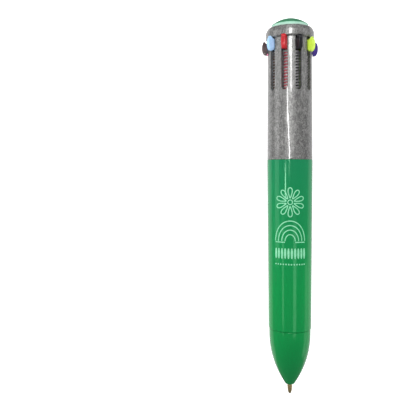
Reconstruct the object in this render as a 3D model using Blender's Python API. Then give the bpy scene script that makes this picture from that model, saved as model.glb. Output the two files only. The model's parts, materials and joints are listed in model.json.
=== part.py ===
"""A ten-colour slide pen, lying on a table. Metres, +Z up.

The pen is modelled in its own frame: the local Z axis runs from the tip of the engaged refill
(height 0) to the head, local -Y is the side that faces up on the table, and local +X is the side
that a person looking down at the pen, with its head away from them, sees on the right.
An empty named pen_axis lays that frame down. Its head points along world +X.
One slider, the green one, is pushed down, so its refill reaches out of the nose.
"""

import math

import bmesh
import bpy
from mathutils import Matrix, Vector

MM = 0.001
GAP = 0.3 * MM  # between neighbouring pieces

# Driving dimensions. A height is measured along the pen from the tip of the engaged refill.
TRAVEL = 13 * MM
SLIDER_COUNT = 10
ROUND_SIDES = 40

HEAD_TOP = 149.9 * MM
CAP_RADIUS = 9.55 * MM
CAP_BOTTOM = 141.1 * MM
CAP_SHOULDER = 143.6 * MM
CAP_EDGE = 145.5 * MM
DOME_FULLNESS = 1.7
PLUG_RADIUS = 7.3 * MM
PLUG_FLAT_RADIUS = 1.5 * MM
PLUG_BOTTOM = 145.1 * MM
PLUG_STEM_RADIUS = 3.0 * MM
PLUG_STEM_BOTTOM = 143.9 * MM
CAP_ROOF = 144.0 * MM

BARREL_TOP = 142.9 * MM
SEAM_HEIGHT = 93.5 * MM
SPIGOT_BOTTOM = 84.0 * MM
UPPER_RADIUS_LOW = 8.9 * MM
UPPER_RADIUS_HIGH = 8.68 * MM
UPPER_BORE = 7.5 * MM
SPIGOT_BORE = 6.8 * MM
SLOT_BOTTOM = 120.45 * MM
SLOT_WIDTH = 2.5 * MM

LOWER_RADIUS_HIGH = 8.95 * MM
LOWER_RADIUS_LOW = 8.35 * MM
LOWER_BOTTOM = 26.6 * MM
LOWER_BORE = 7.35 * MM
SOCKET_BORE = 7.8 * MM

NOSE_BOTTOM = 4.3 * MM
NOSE_CURVE_TOP = 25.4 * MM
NOSE_RADIUS = 8.08 * MM
NOSE_BEND = 0.00769
NOSE_CURVE_POWER = 2.2
NOSE_WALL = 1.0 * MM
NOSE_BORE = 1.3 * MM
NOSE_SPIGOT_TOP = 33.0 * MM
NOSE_SPIGOT_BORE = 6.3 * MM

DISC_BOTTOM = 109.0 * MM
DISC_TOP = 112.0 * MM
CORE_TOP = 143.6 * MM
CORE_RADIUS = 2.9 * MM
SPLINE_RADIUS = 4.0 * MM
SPLINE_WIDTH = 0.7 * MM

TUBE_RING_RADIUS = 5.6 * MM  # where the refills run through the guide disc
TIP_RING_RADIUS = 4.0 * MM  # where their tips wait inside the nose
TUBE_RADIUS = 1.0 * MM
TUBE_BORE = 0.85 * MM
TUBE_TOP_RETRACTED = 136.3 * MM
TUBE_LENGTH = 116.0 * MM
CARRIAGE_BOTTOM_RETRACTED = 136.6 * MM

KNOB_LENGTH = 5.5 * MM
KNOB_WIDTH = 2.4 * MM
KNOB_FACET_WIDTH = 1.8 * MM
KNOB_BASE = 9.1 * MM
KNOB_TOP = 11.05 * MM
KNOB_END_RISE = 0.35 * MM
KNOB_END_THICKNESS = 0.2 * MM
KNOB_MIDDLE = 2.3 * MM  # over the bottom of the carriage
KNOB_UNDERCUT = 3.55 * MM  # over the bottom of the carriage
UNDERCUT_SLOPE = 0.8
KNOB_STATIONS = 9
CARRIAGE_HEIGHT = 5.7 * MM
CARRIAGE_WIDTH = 2.2 * MM
CARRIAGE_INNER = 4.35 * MM
CARRIAGE_OUTER = 7.1 * MM
NECK_WIDTH = 1.8 * MM
NECK_BOTTOM = 0.3 * MM
NECK_TOP = 4.1 * MM
STUB_RADIUS = 0.5 * MM
STUB_LENGTH = 2.6 * MM

BALL_RADIUS = 0.42 * MM
BALL_HEIGHT = 0.46 * MM
LIP_RADIUS = 0.6 * MM
LIP_HEIGHT = 0.55 * MM
POINT_TOP = 7.0 * MM
POINT_RADIUS = 1.0 * MM
SHANK_RADIUS = 0.5 * MM
SHANK_LENGTH = 3.0 * MM

SPRING_RADIUS = 1.45 * MM
WIRE_RADIUS = 0.2 * MM
SPRING_TURNS = 8
SPRING_STEPS = 7  # per turn

# Each colour's slot: its angle from the side that faces up, positive to the right, how far its
# slider sits below the top of its travel, and its colour. Sliders that are up sit a little unevenly.
ENGAGED = "green"
COLOURS = {
    "orange": (-162, 0.0, (0.90, 0.30, 0.04)),
    "pink": (-126, 0.0, (0.88, 0.22, 0.42)),
    "brown": (-90, 0.7 * MM, (0.10, 0.030, 0.035)),
    "sky": (-54, 0.0, (0.30, 0.56, 0.86)),
    "red": (-18, 0.1 * MM, (0.58, 0.020, 0.035)),
    "black": (18, 0.4 * MM, (0.020, 0.020, 0.024)),
    "lime": (54, 0.6 * MM, (0.58, 0.80, 0.08)),
    "purple": (90, 1.4 * MM, (0.075, 0.030, 0.25)),
    "blue": (126, 0.3 * MM, (0.020, 0.08, 0.45)),
    "green": (162, TRAVEL, (0.015, 0.30, 0.09)),
}

# The pen lies on a corner of the engaged knob and on the lower end of the lower barrel.
REST_TURN = math.radians(180 - COLOURS[ENGAGED][0])
KNOB_REACH = KNOB_TOP * math.cos(REST_TURN) + KNOB_FACET_WIDTH / 2 * math.sin(REST_TURN)
KNOB_HEIGHT = CARRIAGE_BOTTOM_RETRACTED - TRAVEL + KNOB_MIDDLE
TILT = math.atan2(KNOB_REACH - LOWER_RADIUS_LOW, KNOB_HEIGHT - LOWER_BOTTOM)


def clear_scene():
    for obj in list(bpy.data.objects):
        bpy.data.objects.remove(obj, do_unlink=True)


def material(name, colour, roughness, metallic=0.0):
    made = bpy.data.materials.new(name)
    made.use_nodes = True
    shader = made.node_tree.nodes["Principled BSDF"]
    shader.inputs["Base Color"].default_value = (*colour, 1.0)
    shader.inputs["Roughness"].default_value = roughness
    shader.inputs["Metallic"].default_value = metallic
    return made


def object_from(bm, name):
    """Makes a smooth-shaded object of bm, with its faces pointing out."""
    bmesh.ops.remove_doubles(bm, verts=bm.verts, dist=1e-7)
    bmesh.ops.recalc_face_normals(bm, faces=bm.faces)
    mesh = bpy.data.meshes.new(name)
    bm.to_mesh(mesh)
    bm.free()
    mesh.shade_smooth()
    mesh.set_sharp_from_angle(angle=math.radians(32))
    obj = bpy.data.objects.new(name, mesh)
    bpy.context.scene.collection.objects.link(obj)
    return obj


def turned(name, profile, sides=ROUND_SIDES):
    """Turns an outline of (radius, height) points round local Z. It may be a closed ring, or run
    from the axis to the axis."""
    bm = bmesh.new()
    points = [bm.verts.new((radius, 0, height)) for radius, height in profile]
    on_axis = profile[0][0] == 0
    edges = [bm.edges.new(pair) for pair in zip(points, points[1:])]
    if not on_axis:
        edges.append(bm.edges.new((points[-1], points[0])))
    bmesh.ops.spin(
        bm,
        geom=points + edges,
        cent=(0, 0, 0),
        axis=(0, 0, 1),
        angle=math.tau,
        steps=sides,
        use_merge=True,
    )
    return object_from(bm, name)


def box(name, low, high):
    bm = bmesh.new()
    low, high = Vector(low), Vector(high)
    size = high - low
    place = Matrix.Translation((low + high) / 2) @ Matrix.Diagonal((*size, 1))
    bmesh.ops.create_cube(bm, size=1, matrix=place)
    return object_from(bm, name)


def combine(obj, others, operation):
    """Joins the other objects to obj, or cuts them from it, and removes them."""
    for other in others:
        modifier = obj.modifiers.new(operation.lower(), "BOOLEAN")
        modifier.operation = operation
        modifier.object = other
    bpy.context.view_layer.update()
    graph = bpy.context.evaluated_depsgraph_get()
    whole = bpy.data.meshes.new_from_object(obj.evaluated_get(graph))
    obj.modifiers.clear()
    obj.data = whole
    for other in others:
        bpy.data.objects.remove(other, do_unlink=True)
    return obj


def outward(angle):
    """The direction out of the pen at an angle in degrees from the side that faces up."""
    turn = math.radians(angle)
    return Vector((math.sin(turn), -math.cos(turn), 0))


def place(obj, pen, finish, angle=0, radius=0, height=0):
    """Parents a piece to the pen, at a place round its axis."""
    obj.parent = pen
    obj.location = outward(angle) * radius + Vector((0, 0, height))
    obj.rotation_euler = (0, 0, math.radians(angle))
    obj.data.materials.clear()
    obj.data.materials.append(finish)
    return obj


def smoothstep(t):
    return t * t * (3 - 2 * t)


def dome_radius(height):
    """The head's outline, a fuller curve than an ellipse's shoulder, over cap and plug."""
    share = (height - CAP_SHOULDER) / (HEAD_TOP - CAP_SHOULDER)
    return CAP_RADIUS * (1 - share**DOME_FULLNESS) ** (1 / DOME_FULLNESS)


def dome_height(radius):
    share = radius / CAP_RADIUS
    return CAP_SHOULDER + (HEAD_TOP - CAP_SHOULDER) * (1 - share**DOME_FULLNESS) ** (1 / DOME_FULLNESS)


def nose_radius(height):
    return NOSE_RADIUS - NOSE_BEND * MM * ((NOSE_CURVE_TOP - height) / MM) ** NOSE_CURVE_POWER


def head_cap():
    """The silver cap over the open ends of the slots."""
    inner = UPPER_RADIUS_HIGH + 1.1 * GAP
    recess = PLUG_RADIUS + GAP
    shoulder = [CAP_SHOULDER + (CAP_EDGE - CAP_SHOULDER) * i / 5 for i in range(6)]
    return turned(
        "head_cap",
        [
            (CAP_RADIUS, CAP_BOTTOM),
            *[(dome_radius(height), height) for height in shoulder],
            (recess, CAP_EDGE),
            (recess, PLUG_BOTTOM - GAP),
            (PLUG_STEM_RADIUS + GAP, PLUG_BOTTOM - GAP),
            (PLUG_STEM_RADIUS + GAP, CAP_ROOF),
            (6.0 * MM, CAP_ROOF),
            (8.2 * MM, BARREL_TOP + 3 * GAP),
            (inner, BARREL_TOP + GAP),
            (inner, CAP_BOTTOM),
        ],
    )


def top_plug():
    """The green dome in the top of the cap, with a small flat at its apex."""
    radii = [PLUG_RADIUS - (PLUG_RADIUS - PLUG_FLAT_RADIUS) * i / 5 for i in range(6)]
    return turned(
        "top_plug",
        [
            (0, dome_height(PLUG_FLAT_RADIUS)),
            *[(radius, dome_height(radius)) for radius in reversed(radii)],
            (PLUG_RADIUS, PLUG_BOTTOM),
            (PLUG_STEM_RADIUS, PLUG_BOTTOM),
            (PLUG_STEM_RADIUS, PLUG_STEM_BOTTOM),
            (0, PLUG_STEM_BOTTOM),
        ],
    )


def slot_cutter():
    """Ten prisms with round lower ends, which open the barrel from the slots' bottoms to its top."""
    bm = bmesh.new()
    half = SLOT_WIDTH / 2
    arc = [math.pi * (1 + i / 6) for i in range(7)]
    low = SLOT_BOTTOM + half
    outline = [(half * math.cos(a), low + half * math.sin(a)) for a in arc]
    outline += [(half, BARREL_TOP + 2 * MM), (-half, BARREL_TOP + 2 * MM)]
    for angle, _, _ in COLOURS.values():
        turn = Matrix.Rotation(math.radians(angle), 4, "Z")
        corners = [bm.verts.new(turn @ Vector((x, -6 * MM, z))) for x, z in outline]
        face = bm.faces.new(corners)
        swept = bmesh.ops.extrude_face_region(bm, geom=[face])["geom"]
        moved = [v for v in swept if isinstance(v, bmesh.types.BMVert)]
        bmesh.ops.translate(bm, verts=moved, vec=outward(angle) * 5 * MM)
    return object_from(bm, "slot_cutter")


def upper_barrel():
    """The silver barrel with ten slots, and the spigot on its lower end."""
    spigot = SOCKET_BORE - GAP
    tube = turned(
        "upper_barrel",
        [
            (UPPER_RADIUS_LOW, SEAM_HEIGHT + 0.2 * MM),
            (UPPER_RADIUS_HIGH, BARREL_TOP),
            (UPPER_BORE, BARREL_TOP),
            (UPPER_BORE, SEAM_HEIGHT + 2 * MM),
            (SPIGOT_BORE, SEAM_HEIGHT + MM),
            (SPIGOT_BORE, SPIGOT_BOTTOM),
            (spigot, SPIGOT_BOTTOM),
            (spigot, SEAM_HEIGHT),
            (UPPER_RADIUS_LOW - 0.2 * MM, SEAM_HEIGHT),
        ],
    )
    return combine(tube, [slot_cutter()], "DIFFERENCE")


def lower_barrel():
    """The green barrel. Its top takes the upper barrel's spigot, and its bottom the nose cone's."""
    top = SEAM_HEIGHT - GAP
    return turned(
        "lower_barrel",
        [
            (LOWER_RADIUS_LOW - 0.15 * MM, LOWER_BOTTOM),
            (LOWER_RADIUS_LOW, LOWER_BOTTOM + 0.15 * MM),
            (LOWER_RADIUS_HIGH, top - 1.5 * MM),
            (LOWER_RADIUS_HIGH - 0.2 * MM, top),
            (SOCKET_BORE, top),
            (SOCKET_BORE, SPIGOT_BOTTOM - 2 * GAP),
            (LOWER_BORE, SPIGOT_BOTTOM - 4 * GAP),
            (LOWER_BORE, LOWER_BOTTOM),
        ],
    )


def nose_cone():
    """The green cone that guides the engaged point. It plugs into the lower barrel."""
    spigot = LOWER_BORE - GAP
    top = LOWER_BOTTOM - GAP
    outer = [NOSE_BOTTOM + (NOSE_CURVE_TOP - NOSE_BOTTOM) * i / 10 for i in range(11)]
    inner = [6.4 * MM + 2.2 * MM * i for i in range(6)]
    return turned(
        "nose_cone",
        [
            *[(nose_radius(height), height) for height in outer],
            (NOSE_RADIUS + 0.05 * MM, top),
            (spigot, top),
            (spigot, NOSE_SPIGOT_TOP),
            (NOSE_SPIGOT_BORE, NOSE_SPIGOT_TOP),
            *[(min(nose_radius(height) - NOSE_WALL, NOSE_SPIGOT_BORE), height) for height in reversed(inner)],
            (NOSE_BORE, 6.0 * MM),
            (NOSE_BORE, NOSE_BOTTOM),
        ],
    )


def guide_disc():
    """The disc with ten holes that the refills run through and the springs stand on."""
    disc = turned(
        "guide_disc",
        [
            (0, DISC_TOP),
            (UPPER_BORE - GAP, DISC_TOP),
            (UPPER_BORE - GAP, DISC_BOTTOM),
            (0, DISC_BOTTOM),
        ],
    )
    drill_outline = [
        (0, DISC_TOP + MM),
        (TUBE_RADIUS + GAP, DISC_TOP + MM),
        (TUBE_RADIUS + GAP, DISC_BOTTOM - MM),
        (0, DISC_BOTTOM - MM),
    ]
    drills = []
    for angle, _, _ in COLOURS.values():
        drill = turned("drill", drill_outline, sides=12)
        drill.location = outward(angle) * TUBE_RING_RADIUS
        drills.append(drill)
    return combine(disc, drills, "DIFFERENCE")


def centre_core():
    """The splined post that the ten sliders slide round."""
    bottom = DISC_TOP + GAP
    post = turned(
        "centre_core",
        [(0, CORE_TOP), (CORE_RADIUS, CORE_TOP), (CORE_RADIUS, bottom), (0, bottom)],
        sides=30,
    )
    splines = []
    for i in range(SLIDER_COUNT // 2):
        angle = 36 * i
        spline = box(
            "spline",
            (-SPLINE_WIDTH / 2, -SPLINE_RADIUS, bottom + 2 * MM),
            (SPLINE_WIDTH / 2, SPLINE_RADIUS, CORE_TOP - MM),
        )
        spline.rotation_euler = (0, 0, math.radians(angle))
        splines.append(spline)
    return combine(post, splines, "UNION")


def slider():
    """A slider at the side that faces up. Its origin is on its refill's axis, at its bottom."""
    bm = bmesh.new()
    rings = []
    for i in range(KNOB_STATIONS):
        turn = math.pi * i / (KNOB_STATIONS - 1)
        height = KNOB_MIDDLE - KNOB_LENGTH / 2 * math.cos(turn)
        # Over the undercut the underside slopes out, so that it passes over the cap's rim.
        lift = UNDERCUT_SLOPE * max(0.0, height - KNOB_UNDERCUT)
        rise = KNOB_END_RISE + (KNOB_TOP - KNOB_BASE - KNOB_END_RISE) * math.sin(turn) ** 0.7
        rise = max(rise, lift + KNOB_END_THICKNESS)
        # In plan the lower end is nearly square, and the upper end is round.
        share = 1 - 0.1 * (1 - math.sin(turn)) if turn < math.pi / 2 else 0.45 + 0.55 * math.sin(turn) ** 0.6
        base = KNOB_WIDTH / 2 * share
        facet = base * KNOB_FACET_WIDTH / KNOB_WIDTH
        front = TUBE_RING_RADIUS - KNOB_BASE
        corners = [(-base, lift), (base, lift), (facet, rise), (-facet, rise)]
        rings.append([bm.verts.new((x, front - y, height)) for x, y in corners])
    for ring, following in zip(rings, rings[1:]):
        for i in range(4):
            bm.faces.new((ring[i], ring[i - 1], following[i - 1], following[i]))
    bm.faces.new(rings[0])
    bm.faces.new(rings[-1])
    knob = object_from(bm, "slider")
    neck = box(
        "neck",
        (-NECK_WIDTH / 2, TUBE_RING_RADIUS - KNOB_BASE - 0.7 * MM, NECK_BOTTOM),
        (NECK_WIDTH / 2, TUBE_RING_RADIUS - CARRIAGE_OUTER + 0.4 * MM, NECK_TOP),
    )
    carriage = box(
        "carriage",
        (-CARRIAGE_WIDTH / 2, TUBE_RING_RADIUS - CARRIAGE_OUTER, 0),
        (CARRIAGE_WIDTH / 2, TUBE_RING_RADIUS - CARRIAGE_INNER, CARRIAGE_HEIGHT),
    )
    stub = turned(
        "stub",
        [(0, MM), (STUB_RADIUS, MM), (STUB_RADIUS, -STUB_LENGTH), (0, -STUB_LENGTH)],
        sides=8,
    )
    return combine(knob, [neck, carriage, stub], "UNION")


def refill_tube(engaged, drop):
    """An ink tube at the side that faces up, hanging from its top end. Below the guide disc it
    bends in towards the pen's axis: a little when retracted, all the way when engaged."""
    bm = bmesh.new()
    shift = TUBE_RING_RADIUS if engaged else TUBE_RING_RADIUS - TIP_RING_RADIUS
    straight = TUBE_TOP_RETRACTED - drop - DISC_BOTTOM
    steps = 12 if engaged else 4
    depths = [0] + [straight + (TUBE_LENGTH - straight) * i / steps for i in range(steps + 1)]
    rings = {TUBE_RADIUS: [], TUBE_BORE: []}
    sides = 8
    for radius, loops in rings.items():
        for depth in depths:
            share = max(0.0, (depth - straight) / (TUBE_LENGTH - straight))
            inward = shift * smoothstep(share)
            turns = [math.tau * (i + 0.5) / sides for i in range(sides)]
            points = [(radius * math.cos(a), inward + radius * math.sin(a), -depth) for a in turns]
            loops.append([bm.verts.new(point) for point in points])
    outer, inner = rings.values()
    for loops in (outer, inner):
        for ring, following in zip(loops, loops[1:]):
            for i in range(sides):
                bm.faces.new((ring[i], ring[i - 1], following[i - 1], following[i]))
    for end in (0, -1):
        for i in range(sides):
            bm.faces.new((outer[end][i], outer[end][i - 1], inner[end][i - 1], inner[end][i]))
    return object_from(bm, "refill")


def ballpoint():
    """A brass ball point. Its origin is at the very tip, and its shank goes up into the tube."""
    seat = 0.08 * MM
    return turned(
        "point",
        [
            (0, BALL_HEIGHT + BALL_RADIUS + seat),
            (BALL_RADIUS + seat, BALL_HEIGHT + BALL_RADIUS),
            (BALL_RADIUS + seat, LIP_HEIGHT),
            (LIP_RADIUS, LIP_HEIGHT),
            (0.82 * MM, 1.5 * MM),
            (POINT_RADIUS, 3.2 * MM),
            (POINT_RADIUS, POINT_TOP),
            (SHANK_RADIUS, POINT_TOP),
            (SHANK_RADIUS, POINT_TOP + SHANK_LENGTH),
            (0, POINT_TOP + SHANK_LENGTH),
        ],
        sides=10,
    )


def ball():
    bm = bmesh.new()
    bmesh.ops.create_uvsphere(bm, u_segments=8, v_segments=5, radius=BALL_RADIUS)
    bmesh.ops.translate(bm, verts=bm.verts, vec=(0, 0, BALL_HEIGHT))
    return object_from(bm, "ball")


def spring(length):
    """A coil round local Z, from height 0 up, in a coarse three-sided wire."""
    bm = bmesh.new()
    steps = SPRING_TURNS * SPRING_STEPS
    rise = length - 2 * WIRE_RADIUS
    rings = []
    for i in range(steps + 1):
        turn = math.tau * i / SPRING_STEPS
        radial = Vector((math.cos(turn), math.sin(turn), 0))
        centre = radial * SPRING_RADIUS + Vector((0, 0, WIRE_RADIUS + rise * i / steps))
        corners = [math.tau * k / 3 for k in range(3)]
        rings.append(
            [
                bm.verts.new(centre + WIRE_RADIUS * (radial * math.cos(c) + Vector((0, 0, math.sin(c)))))
                for c in corners
            ]
        )
    for ring, following in zip(rings, rings[1:]):
        for k in range(3):
            bm.faces.new((ring[k], ring[k - 1], following[k - 1], following[k]))
    bm.faces.new(rings[0])
    bm.faces.new(rings[-1])
    return object_from(bm, "spring")


def pen_axis():
    """The empty that lays the pen down. Its columns are the pen's own axes in the world."""
    sine, cosine = math.sin(TILT), math.cos(TILT)
    turn = Matrix(((0, sine, cosine), (-1, 0, 0), (0, -cosine, sine))).to_4x4()
    empty = bpy.data.objects.new("pen_axis", None)
    bpy.context.scene.collection.objects.link(empty)
    # The lower barrel's low end touches the table, and the world's origin is midway along.
    lift = LOWER_RADIUS_LOW * cosine - LOWER_BOTTOM * sine
    middle = (dome_height(PLUG_FLAT_RADIUS) + BALL_HEIGHT - BALL_RADIUS) / 2 * cosine
    empty.matrix_world = Matrix.Translation((-middle, 0, lift)) @ turn
    return empty


def build():
    clear_scene()
    pen = pen_axis()
    silver = material("silver_flake", (0.30, 0.31, 0.32), 0.35, 0.8)
    glossy_green = material("green_plastic", (0.02, 0.25, 0.09), 0.12)
    inner_white = material("inner_plastic", (0.75, 0.75, 0.72), 0.4)
    brass = material("brass", (0.55, 0.42, 0.20), 0.3, 1.0)
    steel = material("steel", (0.55, 0.55, 0.56), 0.3, 1.0)
    place(head_cap(), pen, silver)
    place(top_plug(), pen, glossy_green)
    place(upper_barrel(), pen, silver)
    place(lower_barrel(), pen, glossy_green)
    place(nose_cone(), pen, glossy_green)
    place(guide_disc(), pen, inner_white)
    place(centre_core(), pen, inner_white)
    for colour, (angle, drop, tint) in COLOURS.items():
        engaged = colour == ENGAGED
        tip_radius = 0 if engaged else TIP_RING_RADIUS
        tip_height = TRAVEL - drop
        carriage_bottom = CARRIAGE_BOTTOM_RETRACTED - drop
        plastic = material(f"{colour}_plastic", tint, 0.3)
        ink = material(f"{colour}_ink", tuple(0.5 * channel for channel in tint), 0.25)
        ring = TUBE_RING_RADIUS
        pieces = [
            ("slider", slider(), plastic, ring, carriage_bottom),
            ("refill", refill_tube(engaged, drop), ink, ring, TUBE_TOP_RETRACTED - drop),
            ("spring", spring(carriage_bottom - DISC_TOP - 2 * GAP), steel, ring, DISC_TOP + GAP),
            ("point", ballpoint(), brass, tip_radius, tip_height),
            ("ball", ball(), steel, tip_radius, tip_height),
        ]
        for kind, piece, finish, radius, height in pieces:
            piece.name = f"{kind}_{colour}"
            place(piece, pen, finish, angle, radius, height)


build()
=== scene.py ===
"""The looks of a ten-colour slide pen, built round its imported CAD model. Metres, +Z up.

Each piece is shaped in the pen's own frame, and PEN lays it down where the CAD model lies. In that
frame Z runs along the pen from the tip of the ball that is out, -Y is the side that faces up, and
+X is the right of a person who looks down at the pen with its head away from them.
"""

import json
import math

import bmesh
import bpy
from mathutils import Matrix, Vector

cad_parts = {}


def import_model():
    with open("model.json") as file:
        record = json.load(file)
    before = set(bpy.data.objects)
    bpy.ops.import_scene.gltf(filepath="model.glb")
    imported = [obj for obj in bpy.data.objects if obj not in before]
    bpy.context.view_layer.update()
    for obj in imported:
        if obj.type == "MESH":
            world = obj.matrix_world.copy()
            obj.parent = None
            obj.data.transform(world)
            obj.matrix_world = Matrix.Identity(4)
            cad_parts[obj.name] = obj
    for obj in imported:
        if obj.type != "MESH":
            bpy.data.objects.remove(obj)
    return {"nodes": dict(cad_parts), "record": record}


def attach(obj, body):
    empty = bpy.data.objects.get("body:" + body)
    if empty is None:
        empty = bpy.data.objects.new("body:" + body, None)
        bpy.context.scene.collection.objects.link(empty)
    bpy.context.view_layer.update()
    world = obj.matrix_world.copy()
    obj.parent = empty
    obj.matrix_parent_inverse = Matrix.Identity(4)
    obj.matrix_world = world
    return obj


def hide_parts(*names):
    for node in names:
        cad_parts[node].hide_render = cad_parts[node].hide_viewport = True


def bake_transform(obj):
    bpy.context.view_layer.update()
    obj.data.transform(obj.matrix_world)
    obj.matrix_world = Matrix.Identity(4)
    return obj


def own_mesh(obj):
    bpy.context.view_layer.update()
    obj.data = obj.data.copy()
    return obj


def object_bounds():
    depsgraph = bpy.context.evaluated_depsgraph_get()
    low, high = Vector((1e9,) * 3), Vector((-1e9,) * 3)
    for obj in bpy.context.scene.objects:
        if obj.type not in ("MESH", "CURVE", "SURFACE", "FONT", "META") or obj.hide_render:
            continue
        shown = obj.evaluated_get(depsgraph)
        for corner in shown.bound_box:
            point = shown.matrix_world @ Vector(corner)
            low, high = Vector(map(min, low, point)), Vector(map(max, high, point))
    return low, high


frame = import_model()
cad_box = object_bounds()

MM = 0.001
SIDES = 160  # of the large turned pieces
FINE_SIDES = 32  # of the small ones
SLOTTED_SIDES = 320
CREASE = math.radians(35)
SLOTTED_CREASE = math.radians(12)  # keeps the slots' edges out of the barrel's shading
ENGAGED = "green"  # the colour whose slider is down and whose point is out

# The cap and its plug, where the frame's boxes don't give their shape
CAP_WALL_HEIGHT = 2.5 * MM
CAP_RIM_SLOPE = (0.34 * MM, 0.55 * MM)  # in and up, under the cap's rim
CAP_WALL = 0.54 * MM
CAP_ROOF = 1.5 * MM
CAP_ROOF_RADIUS = 6.0 * MM
CAP_HAUNCH = (8.2 * MM, 0.9 * MM)  # its radius, and its height over the barrel's top
CAP_CLEARANCE = 0.3 * MM  # over the barrel's top
DOME_OVERSHOOT = 0.161 * MM  # from the flat on the plug to where the dome's curve would end
DOME_FULLNESS = 1.7
PLUG_GAP = 0.3 * MM
PLUG_SEAT = 0.4 * MM  # from the cap's upper edge down to the plug's underside
PLUG_SAG = 0.02 * MM  # of its flat, from the middle to the edge
PLUG_EDGE_FILLET = 0.4 * MM
PLUG_STEM_RADIUS = 3.0 * MM
PAINTED_RIM_DEPTH = 4.2 * MM  # how far under its top the plug's colour ramp starts: its pale lower stops are a painted highlight with a little edge wear

# The barrels
SLOT_WIDTH = 2.5 * MM
SLOT_LENGTH = 22.45 * MM
SLOT_EDGE = 0.1 * MM
CUTTER_REACH = (6 * MM, 11 * MM)  # from inside the slotted wall to outside it
UPPER_WALL = 1.18 * MM
UPPER_TAPER = 0.22 * MM
PLAIN_RINGS = (3 * MM, 0.5 * MM)  # under the slots, to keep their shading out of the plain part
SPIGOT_LENGTH = 9.5 * MM
SPIGOT_WALL = 0.7 * MM
SPIGOT_STEP = 0.15 * MM  # out from the lower barrel's bore
SOCKET_STEP = 0.45 * MM  # out from the same bore
SOCKET_SLACK = 0.6 * MM
BARREL_SEAM = 0.03 * MM
LOWER_TAPER = 0.6 * MM
LOWER_STRAIGHT = 1.5 * MM  # under the lower barrel's top, where its taper ends
LOWER_EDGE = 0.2 * MM

# The nose cone, the disc and the core
CONE_SEAM = 0.1 * MM
CONE_SPIGOT_GAP = 0.3 * MM
CONE_SPIGOT_WALL = 0.75 * MM
NOSE_CURVE_POWER = 2.2
NOSE_COLLAR = 0.9 * MM
NOSE_WALL = 1.0 * MM
NOSE_END_WALL = 0.48 * MM
NOSE_BORE_LENGTH = 1.7 * MM
DISC_CLEARANCE = 0.3 * MM  # round each refill
CORE_RADIUS = 2.9 * MM
SPLINE_WIDTH = 0.7 * MM

# The sliders
KNOB_STATIONS = 28
KNOB_FACET_SHARE = 0.68
KNOB_FILLET = 0.16 * MM
KNOB_CROWN = 0.0225 * MM
KNOB_END_RISE = 0.35 * MM  # how thick the knob's ends are
KNOB_RISE_POWER = 0.7
KNOB_LOWER_TAPER = 0.1  # how much narrower the lower end is, as a share
KNOB_UPPER_WIDTH = 0.45  # of the upper end, as a share
KNOB_TAPER_POWER = 0.6
KNOB_UNDERCUT = 1.5 * MM  # from the knob's upper end
UNDERCUT_SLOPE = 0.8
NECK_HALF_WIDTH = 0.9 * MM
NECK_START = 0.75 * MM  # from the knob's lower end
CARRIAGE_WITHIN = 7.2 * MM  # of the pen's axis
CARRIAGE_BEYOND = 1.0 * MM  # to either side of the slot's middle, past the neck
STUB_RADIUS = 0.5 * MM

# The refills and springs
TUBE_WALL = 0.15 * MM
TUBE_STEPS = 48
TUBE_CAD_SIDES = 8
WIRE_RADIUS = 0.2 * MM
WIRE_SIDES = 8
COIL_TURNS = 22
COIL_STEPS = 20  # a turn
COIL_CLOSED_TURNS = 1.5  # at each end, where the wire lies turn on turn
COIL_CLOSED_PITCH = 2.1 * WIRE_RADIUS
BALL_RADIUS = 0.42 * MM
# A point's radius, height over its ball's lowest point, and fillet, in millimetres
NIB_OUTLINE = (
    (0, 0.92, 0),
    (0.48, 0.84, 0),
    (0.48, 0.46, 0),
    (0.43, 0.38, 0),
    (0.52, 0.38, 0.03),
    (0.60, 0.60, 0.1),
    (0.80, 1.42, 0),
    (0.86, 1.48, 0.02),
    (0.99, 3.16, 0.3),
    (0.99, 6.96, 0.06),
    (0.5, 6.96, 0),
    (0.5, 9.96, 0.1),
    (0, 9.96, 0),
)

# Each colour's plastic, and the ink that shows through its refill tube
COLOURS = {
    "orange": ((0.90, 0.30, 0.04), (0.85, 0.26, 0.05)),
    "pink": ((0.88, 0.22, 0.42), (0.80, 0.16, 0.34)),
    "brown": ((0.055, 0.028, 0.030), (0.16, 0.07, 0.045)),
    "sky": ((0.38, 0.62, 0.95), (0.12, 0.34, 0.46)),
    "red": ((0.50, 0.016, 0.024), (0.50, 0.035, 0.065)),
    "black": ((0.006, 0.006, 0.009), (0.012, 0.012, 0.014)),
    "lime": ((0.58, 0.80, 0.06), (0.40, 0.60, 0.08)),
    "purple": ((0.050, 0.024, 0.22), (0.12, 0.05, 0.34)),
    "blue": ((0.020, 0.08, 0.45), (0.03, 0.10, 0.50)),
    "green": ((0.010, 0.27, 0.08), (0.02, 0.34, 0.12)),
}

# The print on the green barrel: a rosette, a bow, upright bars and a row of short dashes
PRINT_TURN = math.radians(-3.5)  # from the side that faces up
PRINT_LIFT = 0.03 * MM
PRINT_LINE = 0.19 * MM  # half the width of a printed line
PRINT_TOP = 82.5 * MM
PRINT_BOTTOM = 52.5 * MM
PRINT_HALF_WIDTH = 6.0 * MM
PRINT_MARGIN = 0.2  # of the gap between two marks in a row, at each end of the row
LEAF_COUNT = 10
LEAF_SPAN = (1.6 * MM, 5.6 * MM)  # from the rosette's middle
LEAF_WIDTH = 1.15 * MM
EYE_RADIUS = 0.9 * MM
BOW_DROP = 20.6 * MM  # from the print's top to the bow's ends
BOW_BANDS = 4
BAND_GAP = 1.35 * MM
BOW_TALLNESS = 1.3
FOOT_HALF_LENGTH = 2.0 * MM
FOOT_DROP = 0.45 * MM
BAR_COUNT = 10
BAR_RISE = 2.6 * MM  # over the print's bottom
BAR_LENGTH = 4.0 * MM
BAR_HALF_WIDTH = 0.42 * MM
DOT_COUNT = 12
DOT_RISE = 0.4 * MM
DOT_LENGTH = 0.56 * MM
DOT_HALF_WIDTH = 0.3 * MM

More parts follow.
